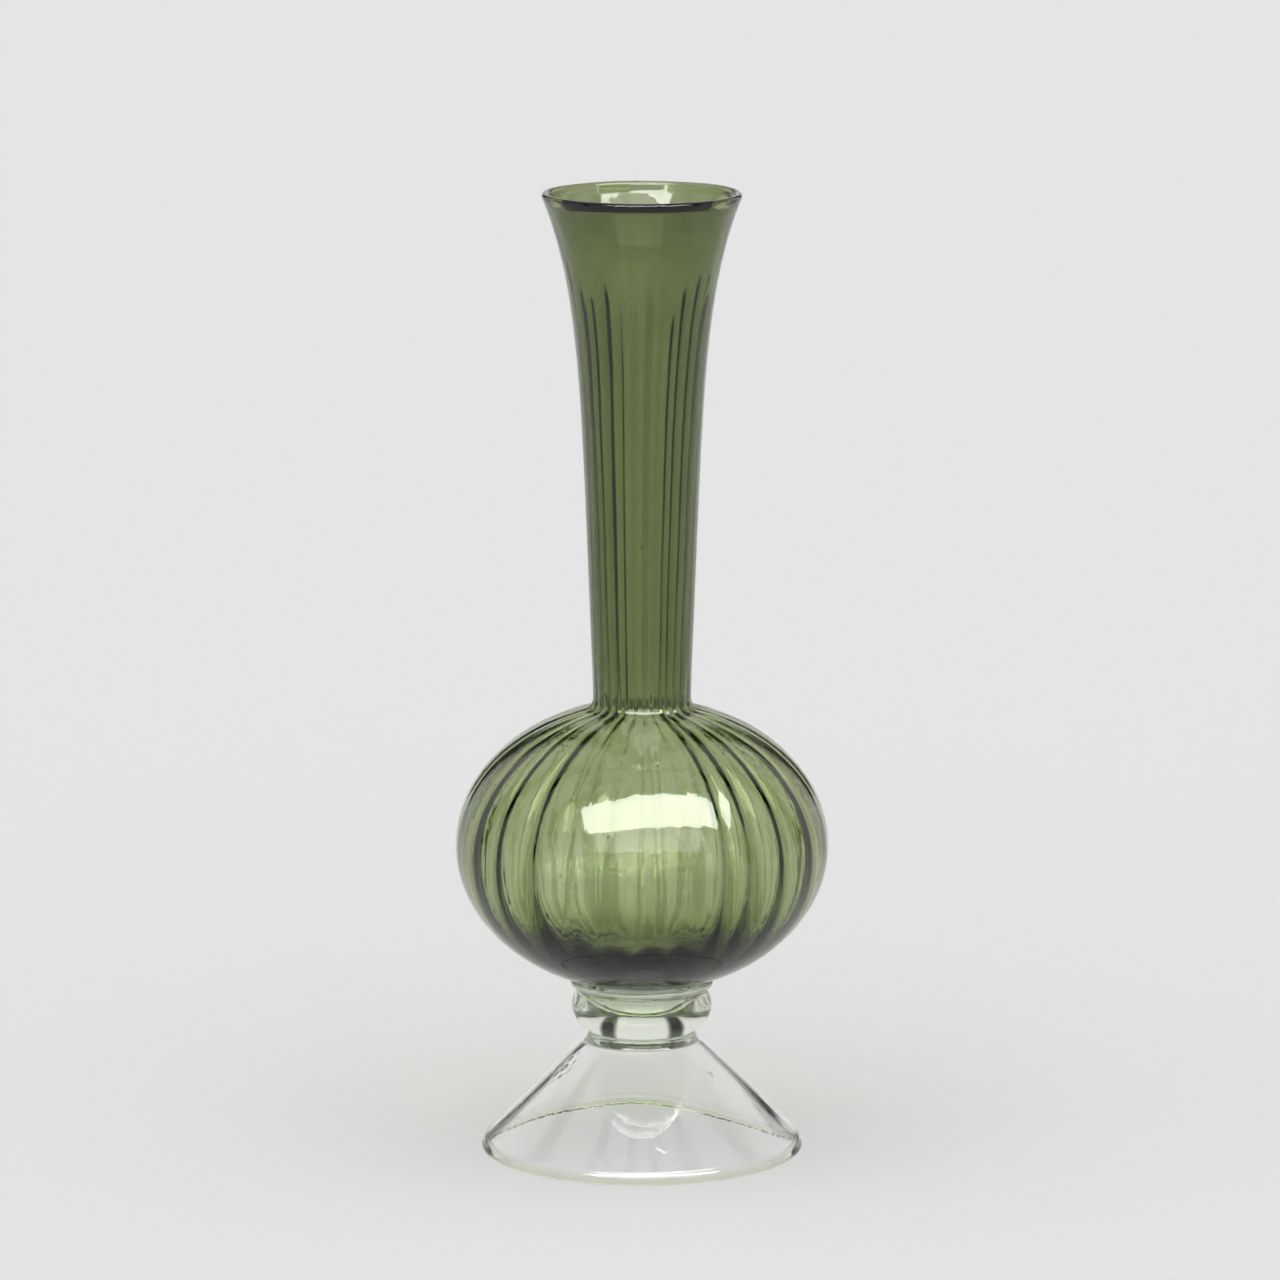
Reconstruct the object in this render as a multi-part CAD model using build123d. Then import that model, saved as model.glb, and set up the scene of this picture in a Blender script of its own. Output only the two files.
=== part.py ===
from build123d import *
import os
from math import acos, cos, degrees, hypot, sin, sqrt

# Glass bud vase in millimetres, +Z up. The origin is on the surface that the vase stands on,
# under the axis of the foot. Everything is round about Z. The four pieces are the four gathers
# of glass that are stuck together hot:
#   green_vessel  bulb, long neck and flared lip, blown as one bubble with ribs inside its wall
#   clear_wafer   thin dished disc that caps the bottom of the bulb
#   clear_knop    solid rounded button under the wafer
#   clear_foot    blown cone, hollow and open underneath, with a fire-polished rim

# Foot
FOOT_HEIGHT = 36.7          # floor to the seat of the knop
FOOT_RIM_RADIUS = 48.4      # widest radius of the foot
FOOT_RIM_HEIGHT = 2.6       # floor to where the cone springs from the rim
FOOT_RIM_WIDTH = 2.4        # rim, from its inside face to its outside face
FOOT_RIM_ROUND = 1.2        # rounding of the rim's outer corners
FOOT_WALL = 1.8             # cone, square to its slope
FOOT_CROWN = 2.2            # closed top of the hollow, under the knop
FOOT_HOLLOW_ROUND = 4.0     # rounding of the hollow's top corner
FOOT_WAIST_RADIUS = 16.2    # at the seat of the knop
FOOT_WAIST_HEIGHT = 2.4     # upright band between the cone and the seat
FOOT_WAIST_ROUND = 4.0      # hollow curve from the band into the cone

# Knop
KNOP_HEIGHT = 12.5
KNOP_TOP_RADIUS = 19.0      # seat of the wafer
KNOP_SWELL = 2.0            # how far the side stands out past the wider of its two seats
KNOP_WIDEST_SHARE = 0.6     # height of the widest point as a share of the knop's height

# Wafer
WAFER_THICKNESS = 2.4
WAFER_OVERHANG = 2.6        # how far the edge stands out past the wider of its two seats
WAFER_DISH = 0.5            # how far the edge is turned up
WAFER_EDGE_ROUND = 0.8

# Bulb
BULB_RADIUS = 56.0
BULB_DEPTH_BELOW = 43.6     # equator to the bottom of the full ellipse
BULB_DEPTH_ABOVE = 43.7     # equator to the top of the full ellipse
BULB_SEAT_RADIUS = 16.5     # flat that the wafer covers
BULB_WALL = 1.7             # between two ribs, at the girth
BASE_THICKNESS = 6.5        # wafer seat to the bottom of the hollow
HOLLOW_FLAT_RADIUS = 3.0    # small flat in the middle of the hollow's bottom
HOLLOW_FULLNESS = 2.15      # power of the lower half's curve: 2 is an ellipse, more is squarer
HOLLOW_STEPS = 11           # points on that curve

# Neck and lip
NECK_RADIUS = 14.5          # outside, where the neck leaves the bulb
NECK_LENGTH = 154.8         # from there to the top of the lip
NECK_WALL = 3.0             # at the root, thinning to the lip
NECK_ROOT_ROUND = 4.5       # hollow curve between bulb and neck, outside
LIP_RADIUS = 29.8
LIP_WIDTH = 2.4             # diameter of the fire-polished bead
WALL_THINNING_POWER = 3.0   # how late the neck's wall thins towards the lip
TAPER_SHARE = 0.385         # part of the flare that is an even taper, the rest curls out near the lip
CURL_POWER = 6.2            # how late the curl starts
NECK_STEPS = 9              # points on the neck's curve

# Ribs inside the vessel
RIB_COUNT = 24
RIB_HEIGHT = 1.0
RIB_SHARE = 0.3             # part of each pitch that is rib
RIB_START = 6.0             # bottom of the hollow to the lower ends
RIB_END = 25.0              # top of the lip down to the upper ends
RIB_ROOT = 0.6              # how deep a rib is rooted in the wall

# Heights that follow from those sizes
knop_z = FOOT_HEIGHT
wafer_z = knop_z + KNOP_HEIGHT
seat_z = wafer_z + WAFER_THICKNESS
equator_z = seat_z + BULB_DEPTH_BELOW * sqrt(1 - (BULB_SEAT_RADIUS / BULB_RADIUS) ** 2)
root_z = equator_z + BULB_DEPTH_ABOVE * sqrt(1 - (NECK_RADIUS / BULB_RADIUS) ** 2)
lip_z = root_z + NECK_LENGTH
hollow_z = seat_z + BASE_THICKNESS


def turn(outline, angle=360.0):
    """Solid made by turning a flat outline, X as radius and Y as height, about Z."""
    return revolve(Plane.XZ * outline, Axis.Z, angle)


def round_corner(outline, radius, height, size):
    """Round the corner of an outline that lies at this radius and height."""
    corner = outline.vertices().sort_by_distance((radius, height))[0]
    return fillet(corner, size)


def ellipse_angle(part_radius, full_radius):
    """Angle, in degrees above level, at which an ellipse has come in to part_radius."""
    return degrees(acos(part_radius / full_radius))


def neck_radius(share):
    """Outside radius of the neck at a share of the way from its root to the lip."""
    return NECK_RADIUS + (LIP_RADIUS - NECK_RADIUS) * (
        TAPER_SHARE * share + (1 - TAPER_SHARE) * share ** CURL_POWER)


def neck_wall(share):
    """Thickness of the neck at a share of the way from its root to the lip."""
    return NECK_WALL + (LIP_WIDTH - NECK_WALL) * share ** WALL_THINNING_POWER


def neck_curve(start_z, walls=0, inset=0.0):
    """Curve up the neck from start_z to the bead of the lip: outside for no walls, inside for one."""
    top_z = lip_z - LIP_WIDTH / 2
    shares = [step / (NECK_STEPS - 1) for step in range(NECK_STEPS)]
    return Spline([
        (neck_radius(s) - walls * neck_wall(s) - inset, start_z + (top_z - start_z) * s) for s in shares])


def hollow_curve(radius, depth):
    """Curve from the flat in the middle of the hollow's bottom out and up to the girth. Its radius
    and depth shares, each raised to the fullness, add up to one."""
    first = HOLLOW_FLAT_RADIUS / radius
    last_angle = acos(first ** (HOLLOW_FULLNESS / 2))
    angles = [last_angle * (1 - step / (HOLLOW_STEPS - 1)) for step in range(HOLLOW_STEPS)]
    power = 2 / HOLLOW_FULLNESS
    points = [(radius * cos(a) ** power, equator_z - depth * sin(a) ** power) for a in angles]
    return Spline(points, tangents=[(1, 0), (0, 1)])


def foot():
    """Cone with its outside and inside parallel, a thicker rim and a closed top."""
    waist_z = FOOT_HEIGHT - FOOT_WAIST_HEIGHT
    rise = waist_z - FOOT_RIM_HEIGHT
    run = FOOT_RIM_RADIUS - FOOT_WAIST_RADIUS
    level_wall = FOOT_WALL * hypot(run, rise) / rise

    def inside_radius(z):
        return FOOT_RIM_RADIUS - run * (z - FOOT_RIM_HEIGHT) / rise - level_wall

    inner_rim = FOOT_RIM_RADIUS - FOOT_RIM_WIDTH
    inner_rim_z = FOOT_RIM_HEIGHT + (FOOT_RIM_RADIUS - level_wall - inner_rim) * rise / run
    crown_z = FOOT_HEIGHT - FOOT_CROWN
    outline = make_face(Polyline(
        (inner_rim, 0), (FOOT_RIM_RADIUS, 0), (FOOT_RIM_RADIUS, FOOT_RIM_HEIGHT),
        (FOOT_WAIST_RADIUS, waist_z), (FOOT_WAIST_RADIUS, FOOT_HEIGHT), (0, FOOT_HEIGHT),
        (0, crown_z), (inside_radius(crown_z), crown_z), (inner_rim, inner_rim_z), close=True))
    outline = round_corner(outline, FOOT_RIM_RADIUS, 0, FOOT_RIM_ROUND)
    outline = round_corner(outline, FOOT_RIM_RADIUS, FOOT_RIM_HEIGHT, FOOT_RIM_ROUND)
    outline = round_corner(outline, FOOT_WAIST_RADIUS, waist_z, FOOT_WAIST_ROUND)
    outline = round_corner(outline, inside_radius(crown_z), crown_z, FOOT_HOLLOW_ROUND)
    return turn(outline)


def knop():
    """Button whose side swells from the foot's waist and closes a little under the wafer."""
    widest = (max(FOOT_WAIST_RADIUS, KNOP_TOP_RADIUS) + KNOP_SWELL, knop_z + KNOP_WIDEST_SHARE * KNOP_HEIGHT)
    side = Spline(
        (FOOT_WAIST_RADIUS, knop_z), widest, (KNOP_TOP_RADIUS, wafer_z), tangents=[(1, 0.45), (-1, 0.9)])
    rest = Polyline((KNOP_TOP_RADIUS, wafer_z), (0, wafer_z), (0, knop_z), (FOOT_WAIST_RADIUS, knop_z))
    return turn(make_face([side, rest]))


def wafer():
    """Disc, flat on both seats, with its edge turned up clear of the bulb."""
    edge = max(KNOP_TOP_RADIUS, BULB_SEAT_RADIUS) + WAFER_OVERHANG
    outline = make_face(Polyline(
        (0, wafer_z), (KNOP_TOP_RADIUS, wafer_z), (edge, wafer_z + WAFER_DISH),
        (edge, seat_z + WAFER_DISH), (BULB_SEAT_RADIUS, seat_z), (0, seat_z), close=True))
    outline = round_corner(outline, edge, wafer_z + WAFER_DISH, WAFER_EDGE_ROUND)
    outline = round_corner(outline, edge, seat_z + WAFER_DISH, WAFER_EDGE_ROUND)
    return turn(outline)


def vessel_outline():
    """Outside of the vessel as a filled shape: flat seat, two half ellipses and the neck."""
    seat_angle = ellipse_angle(BULB_SEAT_RADIUS, BULB_RADIUS)
    root_angle = ellipse_angle(NECK_RADIUS, BULB_RADIUS)
    below = EllipticalCenterArc((0, equator_z), BULB_RADIUS, BULB_DEPTH_BELOW, -seat_angle, arc_size=seat_angle)
    above = EllipticalCenterArc((0, equator_z), BULB_RADIUS, BULB_DEPTH_ABOVE, 0, arc_size=root_angle)
    neck = neck_curve(root_z)
    rest = Polyline(neck @ 1, (0, lip_z - LIP_WIDTH / 2), (0, seat_z), (BULB_SEAT_RADIUS, seat_z))
    outline = make_face([below, above, neck, rest])
    return round_corner(outline, NECK_RADIUS, root_z, NECK_ROOT_ROUND)


def hollow_outline(inset=0.0):
    """Inside of the vessel as a filled shape, made smaller all round by inset."""
    radius = BULB_RADIUS - BULB_WALL - inset
    bottom_z = hollow_z + inset
    flat_share = (HOLLOW_FLAT_RADIUS / radius) ** HOLLOW_FULLNESS
    depth_below = (equator_z - bottom_z) / (1 - flat_share) ** (1 / HOLLOW_FULLNESS)
    depth_above = BULB_DEPTH_ABOVE - BULB_WALL - inset
    throat = NECK_RADIUS - NECK_WALL - inset
    throat_z = equator_z + depth_above * sqrt(1 - (throat / radius) ** 2)
    below = hollow_curve(radius, depth_below)
    above = EllipticalCenterArc((0, equator_z), radius, depth_above, 0, arc_size=ellipse_angle(throat, radius))
    neck = neck_curve(throat_z, 1, inset)
    rest = Polyline(neck @ 1, (0, lip_z - LIP_WIDTH / 2), (0, bottom_z), (HOLLOW_FLAT_RADIUS, bottom_z))
    outline = make_face([below, above, neck, rest])
    return round_corner(outline, throat, throat_z, NECK_ROOT_ROUND + NECK_WALL)


def rib():
    """One rib, which follows the inside of bulb and neck and is rooted in the wall."""
    low_z = hollow_z + RIB_START
    high_z = lip_z - RIB_END
    band = Pos(BULB_RADIUS / 2, (low_z + high_z) / 2) * Rectangle(BULB_RADIUS, high_z - low_z)
    strip = (hollow_outline(-RIB_ROOT) - hollow_outline(RIB_HEIGHT)) & band
    return turn(strip, RIB_SHARE * 360 / RIB_COUNT)


def vessel():
    """Bubble with its hollow and ribs, and a bead round the lip."""
    bead = Pos(LIP_RADIUS - LIP_WIDTH / 2, lip_z - LIP_WIDTH / 2) * Circle(LIP_WIDTH / 2)
    shell = turn(vessel_outline() - hollow_outline() + bead)
    first = rib()
    pitch = 360 / RIB_COUNT
    return shell.fuse(*[Rot(0, 0, (number + 0.5) * pitch) * first for number in range(RIB_COUNT)])


NODES = {"green_vessel": vessel, "clear_wafer": wafer, "clear_knop": knop, "clear_foot": foot}

os.makedirs("parts", exist_ok=True)
for name, make in NODES.items():
    export_step(make(), f"parts/{name}.step")
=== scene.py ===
from math import pi, radians, sqrt

import bpy
import numpy as np
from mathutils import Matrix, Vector


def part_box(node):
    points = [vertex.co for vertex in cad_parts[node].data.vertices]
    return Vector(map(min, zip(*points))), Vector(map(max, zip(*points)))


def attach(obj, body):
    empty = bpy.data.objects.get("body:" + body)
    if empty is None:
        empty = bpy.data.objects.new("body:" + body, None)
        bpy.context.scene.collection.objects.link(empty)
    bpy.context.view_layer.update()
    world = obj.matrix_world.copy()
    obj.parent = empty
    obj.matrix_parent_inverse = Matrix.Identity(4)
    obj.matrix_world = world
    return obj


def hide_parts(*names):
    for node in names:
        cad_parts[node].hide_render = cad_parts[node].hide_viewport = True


# Glass bud vase: a green blown vessel with ribs inside its wall, on a clear wafer, knop and foot.
# Everything is in metres, round about Z, and stands on z = 0. Its front faces -Y.

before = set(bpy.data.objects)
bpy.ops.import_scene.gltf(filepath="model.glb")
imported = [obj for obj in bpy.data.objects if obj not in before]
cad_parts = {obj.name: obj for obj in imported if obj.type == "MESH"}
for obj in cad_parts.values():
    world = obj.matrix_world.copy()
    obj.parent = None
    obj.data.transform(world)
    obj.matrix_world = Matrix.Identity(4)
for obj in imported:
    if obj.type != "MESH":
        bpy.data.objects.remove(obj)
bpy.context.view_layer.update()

MM = 0.001

# ---- sizes that the frame gives ---------------------------------------------------------
vessel_low, vessel_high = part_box("green_vessel")
wafer_low, wafer_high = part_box("clear_wafer")
knop_low, knop_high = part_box("clear_knop")
_, foot_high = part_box("clear_foot")

seat_z = vessel_low.z           # bottom of the bulb, on the wafer
lip_z = vessel_high.z           # top of the lip
wafer_z = wafer_low.z
knop_z = knop_low.z
BULB_RADIUS = vessel_high.x
WAFER_RADIUS = wafer_high.x
KNOP_RADIUS = knop_high.x
FOOT_RADIUS = foot_high.x
FUSED = 0.12 * MM               # how far one hot gather has sunk into the next

# ---- sizes inside those boxes -----------------------------------------------------------
BULB_DEPTH_BELOW = 43.6 * MM
BULB_DEPTH_ABOVE = 43.7 * MM
BULB_SEAT_RADIUS = 16.5 * MM
BULB_WALL = 1.7 * MM            # between two ribs, at the girth
HOLLOW_FULLNESS = 2.4           # power of the hollow's lower curve: 2 is an ellipse, more is squarer
BASE_THICKNESS = 6.5 * MM
NECK_RADIUS = 14.5 * MM
NECK_WALL = 3.0 * MM            # at the root, thinning to the lip
WALL_THINNING_POWER = 3.0       # of the height's share: more keeps the wall thick for longer
LIP_RADIUS = 29.8 * MM
LIP_WIDTH = 2.4 * MM
TAPER_SHARE = 0.385             # of the neck's widening, an even taper; the rest is the curl
CURL_POWER = 6.2                # of the height's share: more curls the lip later
RIB_HEIGHT = 1.0 * MM

equator_z = seat_z + BULB_DEPTH_BELOW * sqrt(1 - (BULB_SEAT_RADIUS / BULB_RADIUS) ** 2)
root_z = equator_z + BULB_DEPTH_ABOVE * sqrt(1 - (NECK_RADIUS / BULB_RADIUS) ** 2)
hollow_z = seat_z + BASE_THICKNESS

FOOT_HEIGHT = foot_high.z
FOOT_RIM_HEIGHT = 2.6 * MM
FOOT_RIM_WIDTH = 2.4 * MM
FOOT_WALL = 1.8 * MM
FOOT_CROWN = 2.2 * MM           # glass over the top of the foot's hollow
FOOT_WAIST_RADIUS = 16.2 * MM
FOOT_WAIST_HEIGHT = 2.4 * MM
KNOP_TOP_RADIUS = 19.0 * MM
KNOP_BULGE = 3.1 * MM           # how far its side stands past a straight one, before trimming
WAFER_EDGE_SHARE = 0.36         # half width of the wafer's edge, as a share of its thickness

# Size of the slow unevenness of each surface, as uneven() takes it.
HOLLOW_WANDER = 0.10 * MM
VESSEL_WANDER = 0.05 * MM
WAFER_WANDER = 0.12 * MM
KNOP_WANDER = 0.18 * MM
FOOT_WANDER = 0.10 * MM

# Where each rib lies round the vessel, in degrees from the front, clockwise seen from below.
# A hand-turned mould leaves them a few degrees uneven.
RIB_PLACES = [-164, -149, -133, -117, -100, -83, -66, -52.5, -38, -24, -11.5, 4,
              16, 28, 37.5, 50.5, 67, 83, 99, 114.5, 130, 146, 162, 178.5]
# Ribs, by their number in that list, that the blower's tool pressed nearly flat on the bulb.
FAINT_RIBS = [9, 10, 11, 12]
FAINT_SHARE = 0.3               # of their height that is left there
RIB_STEPS = 14                  # columns of the mesh from one rib to the next
COLUMN_CROWDING = 0.8           # how much the columns crowd round the ribs, from 0 to 1
LIP_SWEEP = radians(7)          # how far the ribs have swept round at the lip


# ---- paths of a profile: rows of (radius, height) ---------------------------------------
def line(*points):
    """Straight runs through the points, with rows about 0.4 mm apart."""
    step = 0.4 * MM
    points = np.array(points, float)
    parts = []
    for start, stop in zip(points[:-1], points[1:]):
        count = max(2, int(np.hypot(*(stop - start)) / step))
        parts.append(start + (stop - start) * np.linspace(0, 1, count, endpoint=False)[:, None])
    return np.vstack(parts + [points[-1:]])


def ellipse(centre_z, radius, depth, start, stop, count=240):
    """Part of an ellipse about the axis, from one angle above level to another, in degrees."""
    angle = np.radians(np.linspace(start, stop, count))
    return np.column_stack([radius * np.cos(angle), centre_z + depth * np.sin(angle)])


def round_bead(radius, height, half, start, stop, count=40):
    """Part of a circle of this half width about the point (radius, height), angles in degrees."""
    angle = np.radians(np.linspace(start, stop, count))
    return np.column_stack([radius + half * np.cos(angle), height + half * np.sin(angle)])


def run_length(path):
    """Distance along a path at each of its points."""
    return np.concatenate([[0], np.cumsum(np.hypot(*np.diff(path, axis=0).T))])


def at_length(path, lengths):
    """Points of a path at these distances along it."""
    along = run_length(path)
    return np.column_stack([np.interp(lengths, along, path[:, k]) for k in (0, 1)])


def joined(first, second, reach):
    """Two paths that meet at a corner, with the corner turned into a parabola that starts and
    ends at a distance reach from it."""
    first_run, second_run = run_length(first), run_length(second)
    corner = first[-1]
    start = at_length(first, [first_run[-1] - reach])[0]
    stop = at_length(second, [reach])[0]
    t = np.linspace(0, 1, 30)[:, None]
    bend = (1 - t) ** 2 * start + 2 * t * (1 - t) * corner + t ** 2 * stop
    return np.vstack([first[first_run < first_run[-1] - reach], bend, second[second_run > reach]])


def respaced(path, count, turn_weight):
    """The same path on count rows, which crowd where it turns: equal steps of distance along it,
    as a share of the whole, plus turn_weight times the angle turned, smoothed and as a share of
    the whole."""
    along = run_length(path)
    dense = np.linspace(0, along[-1], 6000)
    fine = at_length(path, dense)
    heading = np.unwrap(np.arctan2(*np.gradient(fine, axis=0).T[::-1]))
    turned = np.concatenate([[0], np.cumsum(np.abs(np.diff(heading)))])
    window = np.hanning(61) / 30        # a Hann window of 61 samples adds up to 30
    smooth = np.convolve(np.gradient(turned), window, mode="same").cumsum()
    measure = dense / dense[-1] + turn_weight * smooth / smooth[-1]
    return at_length(path, np.interp(np.linspace(0, measure[-1], count), measure, dense))


def outward(path):
    """Unit normal of each point, away from the glass, for a path that has the glass on its left."""
    step = np.gradient(path, axis=0)
    step[0] = path[1] - path[0]
    step[-1] = path[-1] - path[-2]
    normal = np.column_stack([step[:, 1], -step[:, 0]])
    return normal / np.hypot(*normal.T)[:, None]


# ---- meshes -----------------------------------------------------------------------------
def skin(name, path, turns, push):
    """Closed surface turned about Z from a path that starts and ends on the axis. The point of a
    row and a column lies at the row's radius and height, moved push[row, column] along the row's
    outward normal, and turned by turns[row, column]. Each end closes in one point."""
    normal = outward(path)
    radius = path[:, :1] + normal[:, :1] * push
    height = path[:, 1:] + normal[:, 1:] * push
    ring = slice(1, -1)
    grid = np.stack([radius * np.cos(turns), radius * np.sin(turns), height], axis=-1)[ring]
    rows, columns = grid.shape[:2]
    poles = np.array([[0, 0, path[0, 1]], [0, 0, path[-1, 1]]])
    index = np.arange(rows * columns).reshape(rows, columns)
    beside = np.roll(index, -1, axis=1)
    quads = np.stack([index[:-1], beside[:-1], beside[1:], index[1:]], axis=-1).reshape(-1, 4)
    first_pole, last_pole = rows * columns, rows * columns + 1
    first_fan = np.stack([np.full(columns, first_pole), beside[0], index[0]], axis=-1)
    last_fan = np.stack([index[-1], beside[-1], np.full(columns, last_pole)], axis=-1)
    points = np.vstack([grid.reshape(-1, 3), poles])
    return mesh_object(name, points, quads, np.vstack([first_fan, last_fan]))


def mesh_object(name, points, quads, triangles):
    """Smooth-shaded mesh object from arrays of points, four-sided and three-sided faces."""
    mesh = bpy.data.meshes.new(name)
    mesh.vertices.add(len(points))
    mesh.vertices.foreach_set("co", np.ascontiguousarray(points, np.float32).ravel())
    corners = np.concatenate([quads.ravel(), triangles.ravel()]).astype(np.int32)
    sizes = np.concatenate([np.full(len(quads), 4), np.full(len(triangles), 3)]).astype(np.int32)
    mesh.loops.add(len(corners))
    mesh.loops.foreach_set("vertex_index", corners)
    mesh.polygons.add(len(sizes))
    starts = np.concatenate([[0], np.cumsum(sizes)[:-1]]).astype(np.int32)
    mesh.polygons.foreach_set("loop_start", starts)
    mesh.polygons.foreach_set("use_smooth", np.ones(len(sizes), bool))
    mesh.update(calc_edges=True)
    mesh.validate()
    obj = bpy.data.objects.new(name, mesh)
    bpy.context.scene.collection.objects.link(obj)
    return obj


def paint(piece, name, values):
    """Puts a number on each point of a skin as a named attribute, from values[row, column], and 0
    on its two poles."""
    inner = values[1:-1].ravel()
    attribute = piece.data.attributes.new(name, "FLOAT", "POINT")
    attribute.data.foreach_set("value", np.concatenate([inner, [0.0, 0.0]]).astype(np.float32))


# ---- the green vessel -------------------------------------------------------------------
def neck_run(low_z, walls=0, count=400):
    """Neck from low_z to the lip, outside for no walls and inside for one. The radius grows by
    TAPER_SHARE of the height's share and by the rest of its CURL_POWER, and the wall thins by its
    WALL_THINNING_POWER."""
    top_z = lip_z - LIP_WIDTH / 2
    share = np.linspace(0, 1, count)
    swell = TAPER_SHARE * share + (1 - TAPER_SHARE) * share ** CURL_POWER
    wall = NECK_WALL + (LIP_WIDTH - NECK_WALL) * share ** WALL_THINNING_POWER
    radius = NECK_RADIUS + (LIP_RADIUS - NECK_RADIUS) * swell - walls * wall
    return np.column_stack([radius, low_z + (top_z - low_z) * share])


def hollow_bottom(radius, depth, count=240):
    """Inside of the lower bulb from the girth to the axis: the shares of radius and of depth, each
    raised to the fullness, add up to one."""
    angle = np.linspace(0, pi / 2, count)
    power = 2 / HOLLOW_FULLNESS
    across = np.cos(angle).clip(0) ** power
    across[-1] = 0
    return np.column_stack([radius * across, equator_z - depth * np.sin(angle) ** power])


def vessel_paths():
    """Outside of the vessel from the seat's middle to the lip, and inside from the lip back to
    the bottom of the hollow."""
    seat_angle = np.degrees(np.arccos(BULB_SEAT_RADIUS / BULB_RADIUS))
    root_angle = np.degrees(np.arccos(NECK_RADIUS / BULB_RADIUS))
    below = ellipse(equator_z, BULB_RADIUS, BULB_DEPTH_BELOW, -seat_angle, 0)
    above = ellipse(equator_z, BULB_RADIUS, BULB_DEPTH_ABOVE, 0, root_angle)
    seat = line((0, seat_z), (BULB_SEAT_RADIUS, seat_z))
    outside = joined(seat, np.vstack([below, above[1:]]), 1.2 * MM)
    outside = joined(outside, neck_run(root_z), 3.4 * MM)
    half = LIP_WIDTH / 2
    bead = round_bead(LIP_RADIUS - half, lip_z - half, half, 0, 180)
    lip = joined(outside, bead, 0.6 * MM)

    radius = BULB_RADIUS - BULB_WALL
    depth_above = BULB_DEPTH_ABOVE - BULB_WALL
    throat = NECK_RADIUS - NECK_WALL
    throat_z = equator_z + depth_above * sqrt(1 - (throat / radius) ** 2)
    neck = neck_run(throat_z, walls=1)[::-1]
    shoulder = ellipse(equator_z, radius, depth_above, np.degrees(np.arccos(throat / radius)), 0)
    bottom = hollow_bottom(radius, equator_z - hollow_z)
    inside = joined(neck, np.vstack([shoulder, bottom[1:]]), 5.0 * MM)
    return lip, inside


def rib_turns(height):
    """Angle of each column at each row. Columns crowd round the ribs: between two ribs the share
    of the way is t less the crowding times sin(2 pi t) / 2 pi. Above the root the whole pattern
    sweeps round by the cube of the height's share."""
    places = np.radians(np.array(RIB_PLACES + [RIB_PLACES[0] + 360]) - 90)
    t = np.arange(RIB_STEPS) / RIB_STEPS
    t = t - COLUMN_CROWDING * np.sin(2 * pi * t) / (2 * pi)
    columns = (places[:-1, None] + np.diff(places)[:, None] * t).ravel()
    rise = np.clip((height - root_z) / (lip_z - root_z), 0, 1)
    return columns + LIP_SWEEP * (rise ** 3)[:, None]


def smooth_step(value, low, high):
    """0 below low, 1 above high, and a smooth cubic between them."""
    t = np.clip((value - low) / (high - low), 0, 1)
    return t * t * (3 - 2 * t)


def rib_push(path, turns):
    """How far ribs stand out of a wall. Across each rib it is a bell: 2 to the power of -(d to the
    power p), where d is the distance from its middle in half widths, and p is 2.4 on the bulb and
    2 in the neck. Ribs are tallest and broadest low on the bulb, rise out of the base and die away
    in the flare. The faint ones are flattened on the bulb, but not close to the base."""
    count = len(RIB_PLACES)
    order = np.arange(count)
    # Every rib has its own height, width and end under the lip.
    strength = 0.92 + 0.2 * np.sin(2.4 * order + 0.7)
    width_trim = 1 + 0.22 * np.sin(3.1 * order + 1.2)
    fade_z = lip_z - (22 + 5 * np.sin(1.9 * order + 2.0)) * MM
    on_bulb = np.where(np.isin(order, FAINT_RIBS), FAINT_SHARE, 1.0)

    places = np.radians(np.array(RIB_PLACES) - 90)
    base = turns[0] - turns[0, 0] + places[0]
    nearest = np.round(np.arange(turns.shape[1]) / RIB_STEPS).astype(int)
    offset = base - np.append(places, places[0] + 2 * pi)[nearest]
    rib = nearest % count

    radius = path[:, :1]
    height = path[:, 1:]
    pitch = 2 * pi * radius / count
    lower = smooth_step(-height, -equator_z - 20 * MM, -equator_z + 26 * MM)
    on_neck = smooth_step(height, root_z - 2 * MM, root_z + 12 * MM)
    half_width = (0.36 * MM + (0.10 + 0.09 * lower + 0.06 * on_neck) * pitch) * width_trim[rib]
    across = offset * radius / np.maximum(half_width, 1e-6)
    bell = np.exp2(-np.abs(across) ** (2.4 - 0.4 * on_neck))
    rise = smooth_step(radius, 7 * MM, 22 * MM)
    rise = np.where(height > equator_z, 1.0, rise)
    base_ward = 1 - smooth_step(height, hollow_z + 6 * MM, hollow_z + 16 * MM)
    flattened = on_bulb[rib] + (1 - on_bulb[rib]) * np.maximum(on_neck, base_ward)
    tall = RIB_HEIGHT * (1 + 0.25 * lower) * (1 - 0.2 * on_neck) * strength[rib] * flattened
    fade = 1 - smooth_step(height, fade_z[rib] - 14 * MM, fade_z[rib])
    return tall * bell * rise * fade


def uneven(turns, height, seed, size, waves, rounds=7):
    """Slow unevenness of hand-blown glass: a sum of sines with seeded directions, in the angle
    round the piece and the height, each as tall as size over the square root of their number."""
    rng = np.random.default_rng(seed)
    total = np.zeros(np.broadcast(turns, height).shape)
    for _ in range(waves):
        around = rng.integers(1, rounds)
        upward = rng.uniform(20, 140)
        phase = rng.uniform(0, 2 * pi)
        total += np.sin(around * turns + upward * height + phase)
    return size * total / sqrt(waves)


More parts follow.
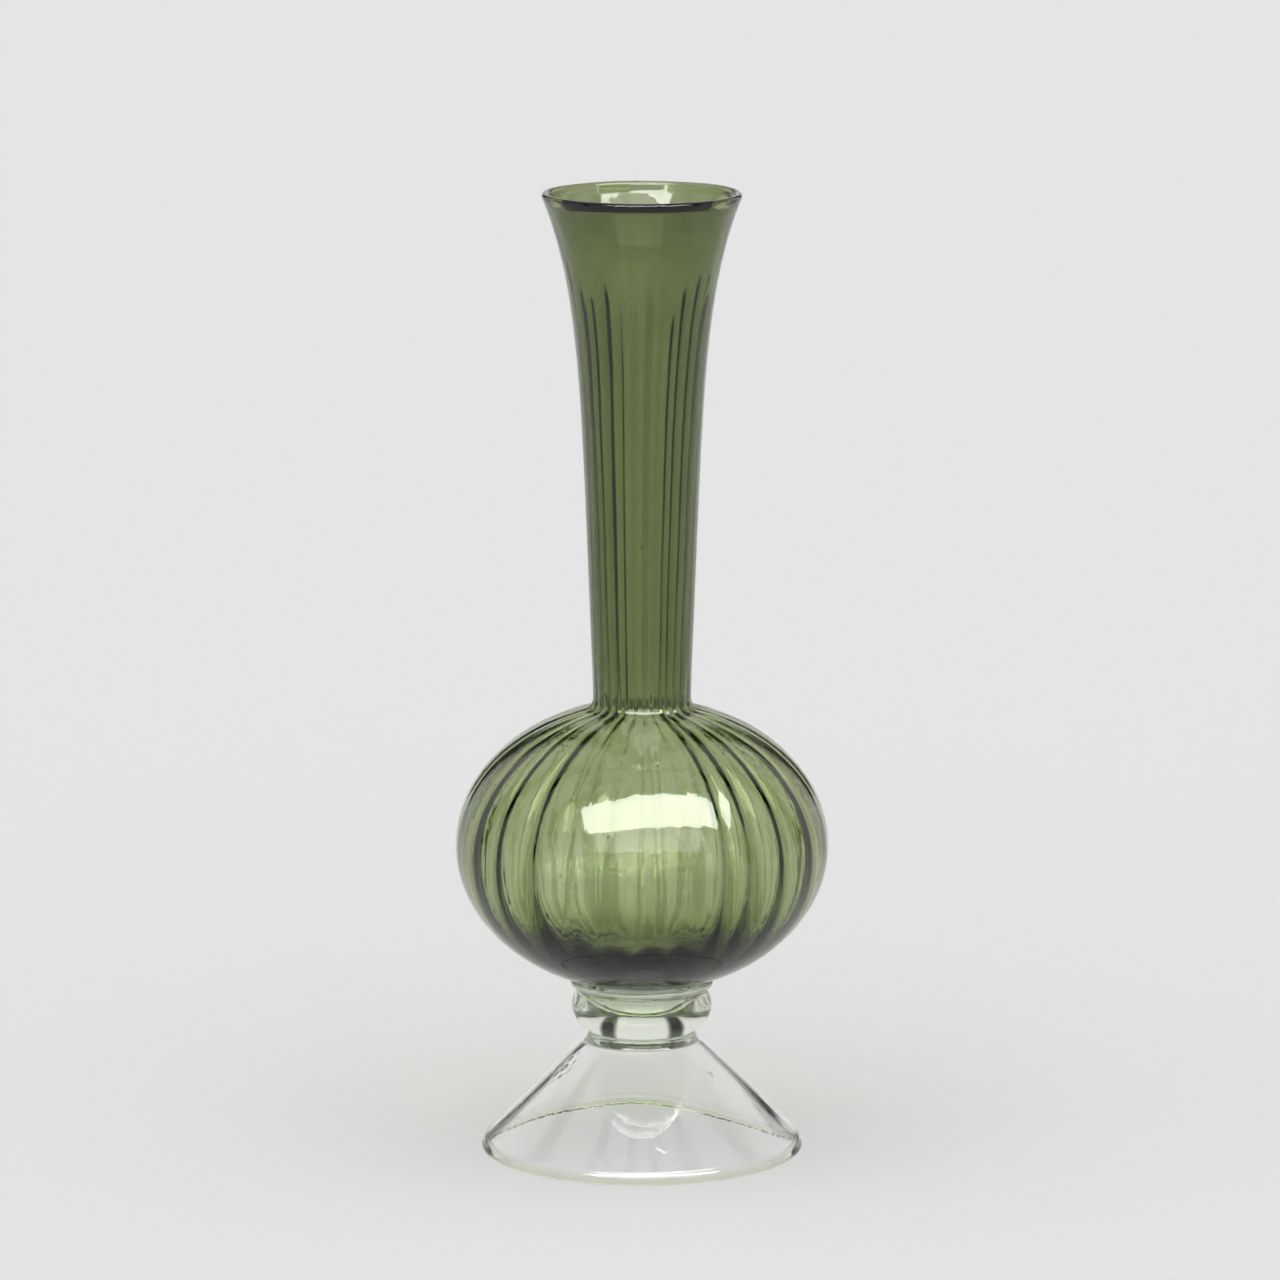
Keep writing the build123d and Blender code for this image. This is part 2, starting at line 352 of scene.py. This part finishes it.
def make_vessel():
    """Outside with shallow lobes over the shoulder, inside with the ribs. rib_glass says how much
    of a rib stands at a point, and hollow_side is 1 on the inside."""
    outside, inside = vessel_paths()
    outer = respaced(outside, 130, 0.8)
    inner = respaced(inside, 140, 0.6)
    path = np.vstack([outer, inner])
    turns = rib_turns(path[:, 1])
    height = path[:, 1:]
    split = len(outer)

    push = np.zeros(turns.shape)
    push[split:] = rib_push(path[split:], turns[split:])
    thick = np.zeros(turns.shape)
    thick[split:] = np.clip(push[split:] / RIB_HEIGHT, 0, 1.4)
    wander = uneven(turns[split:], height[split:], seed=3, size=HOLLOW_WANDER, waves=14)
    push[split:] += wander * smooth_step(path[split:, :1], 4 * MM, 14 * MM)

    up_shoulder = smooth_step(height[:split], equator_z, root_z - 6 * MM)
    up_neck = smooth_step(height[:split], root_z, root_z + 20 * MM)
    lobes = rib_push(path[:split], turns[:split]) * up_shoulder * (1 - up_neck)
    push[:split] = -0.35 * lobes
    wander = uneven(turns[:split], height[:split], seed=8, size=VESSEL_WANDER, waves=10)
    push[:split] += wander * smooth_step(path[:split, :1], 18 * MM, 26 * MM)

    piece = skin("green_vessel_glass", path, turns, push)
    paint(piece, "rib_glass", thick)
    inner_side = np.zeros(turns.shape)
    inner_side[split:] = 1
    paint(piece, "hollow_side", inner_side)
    return piece


# ---- the clear pieces -------------------------------------------------------------------
def even_turns(rows, columns):
    """Columns evenly round the axis, the same on every row."""
    return np.tile(np.linspace(0, 2 * pi, columns, endpoint=False), (rows, 1))


def make_wafer():
    """Thin disc, flat where the knop and the bulb touch it, with a rounded, upturned edge."""
    top_z = seat_z + FUSED
    dish = wafer_high.z - seat_z
    half = (seat_z - wafer_z) * WAFER_EDGE_SHARE
    under = line((0, wafer_z), (KNOP_TOP_RADIUS, wafer_z), (WAFER_RADIUS - half, wafer_z + dish))
    edge_z = wafer_high.z - half
    edge = round_bead(WAFER_RADIUS - half, edge_z, half, -80, 95)
    over = line(edge[-1], (BULB_SEAT_RADIUS + 1.5 * MM, top_z), (0, top_z))
    path = respaced(np.vstack([under[:-1], edge, over[1:]]), 90, 1.0)
    turns = even_turns(len(path), 192)
    out = smooth_step(path[:, :1], KNOP_TOP_RADIUS - 1 * MM, WAFER_RADIUS)
    push = out * uneven(turns, path[:, 1:], seed=21, size=WAFER_WANDER, waves=6, rounds=5)
    return skin("clear_wafer_glass", path, turns, push)


def make_knop():
    """Button whose side is a straight one and a bulge, the power 0.8 of a half sine of the height's
    share to the power 0.9. The bulge is trimmed to bring its widest place near KNOP_RADIUS."""
    low_z, high_z = knop_z, wafer_z + FUSED
    share = np.linspace(0, 1, 120)
    bulge = np.sin(pi * share ** 0.9) ** 0.8
    straight = FOOT_WAIST_RADIUS + (KNOP_TOP_RADIUS - FOOT_WAIST_RADIUS) * share
    widest = (straight + KNOP_BULGE * bulge).max()
    side_radius = straight + (KNOP_RADIUS - widest + KNOP_BULGE) * bulge
    side = np.column_stack([side_radius, low_z + (high_z - low_z) * share])
    path = np.vstack([line((0, low_z), side[0])[:-1], side, line(side[-1], (0, high_z))[1:]])
    path = respaced(path, 120, 1.0)
    turns = even_turns(len(path), 192)
    out = smooth_step(path[:, :1], FOOT_WAIST_RADIUS - 1 * MM, KNOP_RADIUS)
    push = out * uneven(turns, path[:, 1:], seed=5, size=KNOP_WANDER, waves=6, rounds=5)
    return skin("clear_knop_glass", path, turns, push)


# Two blisters that the tongs left on the cone: degrees from the front, height, size across, height
# that they stand up.
BLISTERS = [(-72, 26.5 * MM, 2.6 * MM, 0.55 * MM), (57, 26.0 * MM, 2.3 * MM, 0.40 * MM)]


def blisters(path, turns):
    """Puckered marks on the outside of the cone: each is a bell over the distance from its
    middle, times a ripple along its height and round the cone."""
    total = np.zeros(turns.shape)
    outside = np.arange(len(path))[:, None] > np.argmax(path[:, 0])
    for azimuth, height, size, stand in BLISTERS:
        across = (turns - radians(azimuth - 90) + pi) % (2 * pi) - pi
        around = across * path[:, :1] / size
        upward = (path[:, 1:] - height) / size
        ripple = 0.6 + 0.4 * np.sin(5.0 * around + 2.0) * np.cos(4.0 * upward + 0.5)
        total += stand * np.exp(-around ** 2 - upward ** 2) * ripple
    return total * outside


def make_foot():
    """Blown cone: its inside from the top of the hollow down to the rim, then its outside up to
    the waist and the seat of the knop."""
    waist_z = FOOT_HEIGHT - FOOT_WAIST_HEIGHT
    rise = waist_z - FOOT_RIM_HEIGHT
    run = FOOT_RADIUS - FOOT_WAIST_RADIUS
    level_wall = FOOT_WALL * sqrt(run ** 2 + rise ** 2) / rise
    crown_z = FOOT_HEIGHT - FOOT_CROWN
    inner_rim = FOOT_RADIUS - FOOT_RIM_WIDTH
    inner_rim_z = FOOT_RIM_HEIGHT + (FOOT_RADIUS - level_wall - inner_rim) * rise / run
    crown_radius = FOOT_RADIUS - run * (crown_z - FOOT_RIM_HEIGHT) / rise - level_wall

    inside = joined(line((0, crown_z), (crown_radius, crown_z)),
                    line((crown_radius, crown_z), (inner_rim, inner_rim_z)), 5 * MM)
    inside = joined(inside, line((inner_rim, inner_rim_z), (inner_rim, 0.0)), 1.0 * MM)
    inside = joined(inside, line((inner_rim, 0.0), (FOOT_RADIUS, 0.0)), 0.5 * MM)
    inside = joined(inside, line((FOOT_RADIUS, 0.0), (FOOT_RADIUS, FOOT_RIM_HEIGHT)), 1.1 * MM)
    top_z = FOOT_HEIGHT + FUSED
    whole = joined(inside, line((FOOT_RADIUS, FOOT_RIM_HEIGHT), (FOOT_WAIST_RADIUS, waist_z)), 1.2 * MM)
    whole = joined(whole, line((FOOT_WAIST_RADIUS, waist_z), (FOOT_WAIST_RADIUS, top_z)), 2.2 * MM)
    whole = np.vstack([whole, line((FOOT_WAIST_RADIUS, top_z), (0, top_z))[1:]])
    path = respaced(whole, 240, 0.8)
    turns = even_turns(len(path), 256)
    clear = smooth_step(path[:, 1:], 2 * MM, 8 * MM) * smooth_step(path[:, :1], 8 * MM, 20 * MM)
    wander = uneven(turns, path[:, 1:], seed=12, size=FOOT_WANDER, waves=8, rounds=6)
    return skin("clear_foot_glass", path, turns, clear * wander + blisters(path, turns))


# ---- shader maths -----------------------------------------------------------------------
class Link:
    """A node's output socket that takes part in Python sums, each of which adds a Math node."""

    def __init__(self, nodes, socket):
        self.nodes = nodes
        self.socket = socket

    def beside(self, name):
        """Another output of the same node."""
        return Link(self.nodes, self.socket.node.outputs[name])

    def maths(self, operation, *others):
        """A Math node on this value and the others, in that order."""
        return self.nodes.add("ShaderNodeMath", dict(enumerate((self, *others))), operation=operation)

    def smooth(self, start, stop, first, last):
        """first where this value is below start, last where it is above stop, and a smooth cubic
        between them."""
        return self.nodes.add("ShaderNodeMapRange", {
            "Value": self, "From Min": start, "From Max": stop, "To Min": first, "To Max": last,
        }, interpolation_type="SMOOTHSTEP")

    def __add__(self, other):
        return self.maths("ADD", other)

    def __mul__(self, other):
        return self.maths("MULTIPLY", other)

    __radd__ = __add__
    __rmul__ = __mul__


class Nodes:
    """The nodes of one material or world, which start empty."""

    def __init__(self, tree):
        self.tree = tree
        tree.nodes.clear()

    def add(self, kind, inputs, output=0, **settings):
        """Any node, by its type: its settings are set first, then its inputs, which are numbers,
        colours or links by socket name or number. Gives its named or else its first output, or
        None if it has none."""
        made = self.tree.nodes.new(kind)
        for name, value in settings.items():
            setattr(made, name, value)
        for name, value in inputs.items():
            socket = made.inputs[name]
            if isinstance(value, Link):
                self.tree.links.new(value.socket, socket)
            elif hasattr(value, "__len__") and socket.type == "RGBA":
                socket.default_value = (*value, 1)
            else:
                socket.default_value = value
        return Link(self, made.outputs[output]) if made.outputs else None

    def mix(self, share, first, second):
        """The first colour, turned into the second by a share from 0 to 1."""
        colours = {"Factor": share, "A": first, "B": second}
        return self.add("ShaderNodeMix", colours, "Result", data_type="RGBA")


def new_material(name):
    """An empty material and its nodes."""
    material = bpy.data.materials.new(name)
    material.use_nodes = True
    return material, Nodes(material.node_tree)


# ---- glass ------------------------------------------------------------------------------
# What one metre of each glass takes out of red, green and blue light.
GREEN_LOSS = (226, 188, 368)
CLEAR_LOSS = (2.5, 1.6, 4.0)

# Colours that the surface lets through where a streak runs up it.
GREEN_STREAK = (0.90, 0.93, 0.86)
CLEAR_STREAK = (0.97, 0.98, 0.965)

# Height of the cords in each surface. The clear pieces are smoother.
GREEN_CORDS = 0.08 * MM
CLEAR_CORDS = 0.012 * MM

# Colours that the glass turns to, and how far it does at a whole rib and at the base: partly the
# thick glass's own colour, partly painted shade for the dark that refraction shows there.
RIB_SHADE_BROWN = (0.22, 0.18, 0.11)
RIB_SHADE = 0.26
BASE_SHADE_BROWN = (0.50, 0.41, 0.27)
BASE_SHADE = 0.35
LIP_GREEN = (0.50, 0.53, 0.40)
RIM_GREEN = (0.84, 0.87, 0.74)

RING_PITCH = 1.5 * MM           # height from one ring in the bottom of the hollow to the next
RING_HEIGHT = 0.35              # of a ring, as a share of the tallest cord


def seeds(nodes, place):
    """Tiny bubbles caught in the glass: 1 in the middle of a few scattered cells, 0 elsewhere."""
    distance = nodes.add("ShaderNodeTexVoronoi", {"Vector": place, "Scale": 210.0}, "Distance")
    drawn = nodes.add("ShaderNodeSeparateColor", {"Color": distance.beside("Color")}, "Red")
    few = drawn.maths("GREATER_THAN", 0.93)
    return distance.smooth(0.05, 0.11, 1.0, 0.0) * few


def vessel_colour_and_shade(nodes, place, colour):
    """Darker, browner glass where a rib or the base is thick, partly the thicker glass's own colour
    and partly painted shade for the dark that refraction shows there; and deeper green up the
    neck and most of all at the lip."""
    rib = nodes.add("ShaderNodeAttribute", {}, "Fac", attribute_name="rib_glass")
    up = nodes.add("ShaderNodeSeparateXYZ", {"Vector": place}, "Z")
    # Painted shade below the floor of the hollow, where the base is thick, over the thick glass's own
    # colour.
    base = up.smooth(hollow_z - 3 * MM, hollow_z + 1 * MM, BASE_SHADE, 0.0)
    # Painted shade along the ribs, over the thicker glass's own colour.
    painted_shade_colour = nodes.mix(rib.smooth(0.25, 1.0, 0.0, RIB_SHADE), colour, RIB_SHADE_BROWN)
    painted_shade_colour = nodes.mix(base, painted_shade_colour, BASE_SHADE_BROWN)
    past_root = up.smooth(root_z - 6 * MM, root_z + 10 * MM, 0.0, 0.34)
    up_neck = up.smooth(root_z + 60 * MM, lip_z - 26 * MM, 0.0, 0.16)
    in_flare = up.smooth(lip_z - 30 * MM, lip_z - 4 * MM, 0.0, 0.48)
    return nodes.mix(past_root + up_neck + in_flare, painted_shade_colour, LIP_GREEN)


def vessel_rings(nodes, place, surface_height):
    """The surface with rings round the bottom of the hollow, left by the tool that pushed the
    base up: a sine of the height, which the cords make waver."""
    up = nodes.add("ShaderNodeSeparateXYZ", {"Vector": place}, "Z")
    hollow_side = nodes.add("ShaderNodeAttribute", {}, "Fac", attribute_name="hollow_side")
    low = up.smooth(hollow_z + 7 * MM, hollow_z + 10 * MM, 1.0, 0.0) * up.smooth(
        hollow_z + 1 * MM, hollow_z + 4 * MM, 0.0, 1.0)
    wave = (up * (2 * pi / RING_PITCH) + surface_height * 5.0).maths("SINE")
    return surface_height + wave * low * hollow_side * RING_HEIGHT


def rim_colour(nodes, place, colour):
    """The greenish edge that clear glass shows where it is fire-polished, round the foot's rim."""
    up = nodes.add("ShaderNodeSeparateXYZ", {"Vector": place}, "Z")
    return nodes.mix(up.smooth(1.2 * MM, 3.0 * MM, 1.0, 0.0), colour, RIM_GREEN)


def glass(name, loss, streak, cord_height, tint, relief=None):
    """Blown glass that takes loss out of light in its depth. Faint streaks of colour and cords in
    the surface run up the piece, as in hand-gathered glass, with a few seeds. tint changes the
    colour from place to place, and relief the surface."""
    material, nodes = new_material(name)
    place = nodes.add("ShaderNodeTexCoord", {}, "Object")
    broad = nodes.add("ShaderNodeMapping", {"Vector": place, "Scale": (160, 160, 14)})
    fine = nodes.add("ShaderNodeMapping", {"Vector": place, "Scale": (620, 620, 11)})
    noise = {"Scale": 1.0, "Roughness": 0.5}
    cords = nodes.add("ShaderNodeTexNoise", {"Vector": broad, "Detail": 3.0, **noise}, "Fac")
    threads = nodes.add("ShaderNodeTexNoise", {"Vector": fine, "Detail": 1.0, **noise}, "Fac")
    colour = tint(nodes, place, nodes.mix(cords, (1, 1, 1), streak))
    surface_height = cords + threads * 0.6 + seeds(nodes, place) * 2.5
    if relief:
        surface_height = relief(nodes, place, surface_height)
    bump = nodes.add("ShaderNodeBump", {"Height": surface_height, "Strength": 1.0, "Distance": cord_height})
    surface = nodes.add("ShaderNodeBsdfPrincipled", {
        "Base Color": colour, "Normal": bump, "Roughness": 0.0, "IOR": 1.5, "Transmission Weight": 1.0})
    # The volume takes out its density times one minus its colour, so the density is a little
    # over the greatest loss.
    density = max(loss) * 1.02
    volume = nodes.add("ShaderNodeVolumeAbsorption", {
        "Color": [1 - each / density for each in loss], "Density": density})
    nodes.add("ShaderNodeOutputMaterial", {"Surface": surface, "Volume": volume})
    return material


def dress(piece, material, node):
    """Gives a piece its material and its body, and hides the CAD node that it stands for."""
    piece.data.materials.append(material)
    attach(piece, "root")
    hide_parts(node)


green_glass = glass("green_glass", GREEN_LOSS, GREEN_STREAK, GREEN_CORDS, vessel_colour_and_shade, vessel_rings)
clear_glass = glass("clear_glass", CLEAR_LOSS, CLEAR_STREAK, CLEAR_CORDS, rim_colour)

dress(make_vessel(), green_glass, "green_vessel")
dress(make_wafer(), clear_glass, "clear_wafer")
dress(make_knop(), clear_glass, "clear_knop")
foot_piece = make_foot()
dress(foot_piece, clear_glass, "clear_foot")
# Clear glass this thin hardly shades the paper under it.
foot_piece.visible_diffuse = False
foot_piece.visible_shadow = False


# ---- studio -----------------------------------------------------------------------------
PALE = 0.80                     # brightness of the studio's walls and, nearly, of its floor

# Softboxes: name, place, width, height and power in watts.
SOFTBOXES = [("window_softbox", (0.18, -1.0, 1.63), 3.0, 0.94, 101),
             ("front_softbox", (0.15, -1.9, 1.25), 2.8, 0.9, 20)]
SOFTBOX_AIM = (0, 0, 0.1)


def make_floor():
    """Plain pale paper that runs out of sight."""
    half = 40.0
    points = np.array([[-half, -half, 0], [half, -half, 0], [half, half, 0], [-half, half, 0]])
    floor = mesh_object("floor", points, np.array([[0, 1, 2, 3]]), np.zeros((0, 3), int))
    material, nodes = new_material("pale_paper")
    place = nodes.add("ShaderNodeTexCoord", {}, "Object")
    grain = nodes.add("ShaderNodeTexNoise", {"Vector": place, "Scale": 900.0, "Detail": 2.0}, "Fac")
    colour = nodes.mix(grain, (0.975, 0.975, 0.975), (0.985, 0.985, 0.985))
    surface = nodes.add("ShaderNodeBsdfDiffuse", {"Color": colour, "Roughness": 1.0})
    nodes.add("ShaderNodeOutputMaterial", {"Surface": surface})
    floor.data.materials.append(material)


def make_studio():
    """What the glass sees: a shell far outside the vase that glows like a pale studio. It is pale
    all round, with eight dark flags between the main directions, so that the glass has edges to
    draw, and very slightly dimmer overhead. Only rays that leave glass meet it."""
    reach = 12.0
    columns = 96
    path = ellipse(0, reach, reach, -90, 90, 49)
    path[[0, -1], 0] = 0
    shell = skin("studio_shell", path, even_turns(len(path), columns), np.zeros((len(path), columns)))
    material, nodes = new_material("studio_glow")
    place = nodes.add("ShaderNodeTexCoord", {}, "Object")
    east = nodes.add("ShaderNodeSeparateXYZ", {"Vector": place}, "X")
    north, up = east.beside("Y"), east.beside("Z")
    wave = (north.maths("ARCTAN2", east) * 8.0).maths("COSINE")
    flags = wave.smooth(-0.92, -0.45, 0.02, 1.0)
    wall = up.smooth(0.40 * reach, 0.66 * reach, 1.0, 0.95)
    glow = nodes.add("ShaderNodeEmission", {"Color": (1, 1, 1), "Strength": flags * wall * PALE})
    nodes.add("ShaderNodeOutputMaterial", {"Surface": glow})
    material.cycles.emission_sampling = "NONE"
    shell.data.materials.append(material)
    shell.visible_camera = False
    shell.visible_diffuse = False
    shell.visible_shadow = False


def make_world():
    """Even pale light from all sides, which the floor gives back at the same shade."""
    world = bpy.data.worlds.new("even_light")
    world.use_nodes = True
    nodes = Nodes(world.node_tree)
    background = nodes.add("ShaderNodeBackground", {"Color": (1, 1, 1), "Strength": PALE})
    nodes.add("ShaderNodeOutputWorld", {"Surface": background})
    bpy.context.scene.world = world


def make_softbox(name, place, width, height, power):
    """Rectangular softbox at a place, turned to face the aim. It shows in the glass, but not to
    the camera, and doesn't light the paper directly."""
    light = bpy.data.lights.new(name, "AREA")
    light.shape = "RECTANGLE"
    light.size = width
    light.size_y = height
    light.energy = power
    box = bpy.data.objects.new(name, light)
    box.location = place
    box.rotation_euler = (Vector(SOFTBOX_AIM) - Vector(place)).to_track_quat("-Z", "Y").to_euler()
    box.visible_diffuse = False
    box.visible_camera = False
    bpy.context.scene.collection.objects.link(box)


def make_camera():
    """Long lens, a little above the vase and looking slightly down on it."""
    distance = 2.056
    eye_height = 0.539
    pitch = radians(10.56)
    side_step = -0.6 * MM
    data = bpy.data.cameras.new("camera")
    data.sensor_width = 36
    data.lens = 196.8
    data.clip_start = 0.05
    data.clip_end = 200
    camera = bpy.data.objects.new("camera", data)
    camera.location = (side_step, -distance, eye_height)
    camera.rotation_euler = (pi / 2 - pitch, 0, 0)
    bpy.context.scene.collection.objects.link(camera)
    bpy.context.scene.camera = camera


make_floor()
make_studio()
make_world()
for softbox in SOFTBOXES:
    make_softbox(*softbox)
make_camera()

scene = bpy.context.scene
scene.view_settings.view_transform = "Standard"
scene.cycles.max_bounces = 32
scene.cycles.transmission_bounces = 28
scene.cycles.glossy_bounces = 12
